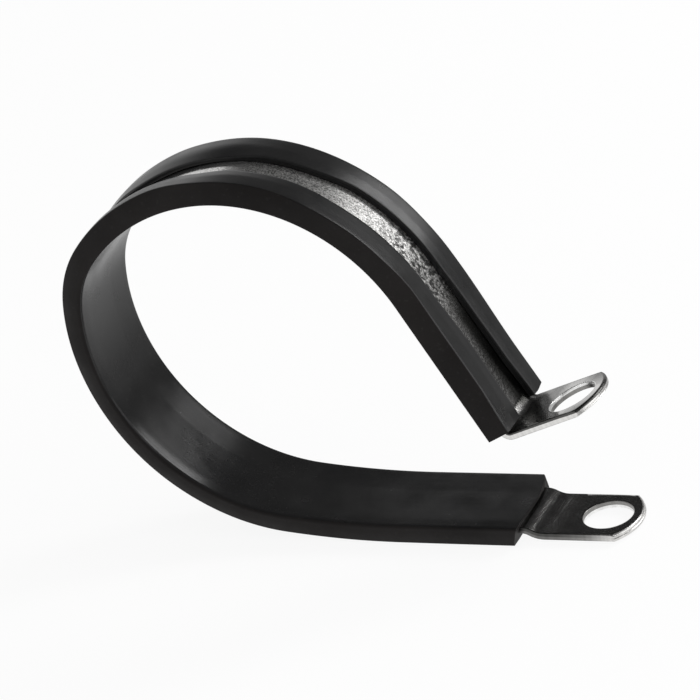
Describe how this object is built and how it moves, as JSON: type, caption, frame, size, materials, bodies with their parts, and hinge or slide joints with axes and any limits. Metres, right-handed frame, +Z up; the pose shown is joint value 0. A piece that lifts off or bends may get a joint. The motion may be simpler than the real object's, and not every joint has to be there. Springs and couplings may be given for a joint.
{
  "type": "p clip",
  "caption": "Open rubber-lined steel P clip: a bent band with a bolt hole in each tab, and a channel-shaped liner on its edges.",
  "frame": {"origin": "centre of the lower tab's hole, on the tab's under face", "axes": "+X along the lower tab towards its tip, +Y across the band, +Z up from the lower tab to the upper one"},
  "size_m": [0.1104, 0.0204, 0.08],
  "materials": {
    "zinc_steel": "zinc plated, satin",
    "black_rubber": "extruded, satin"
  },
  "bodies": {
    "root": {"steel_band": "zinc_steel", "rubber_liner": "black_rubber"}
  },
  "joints": []
}
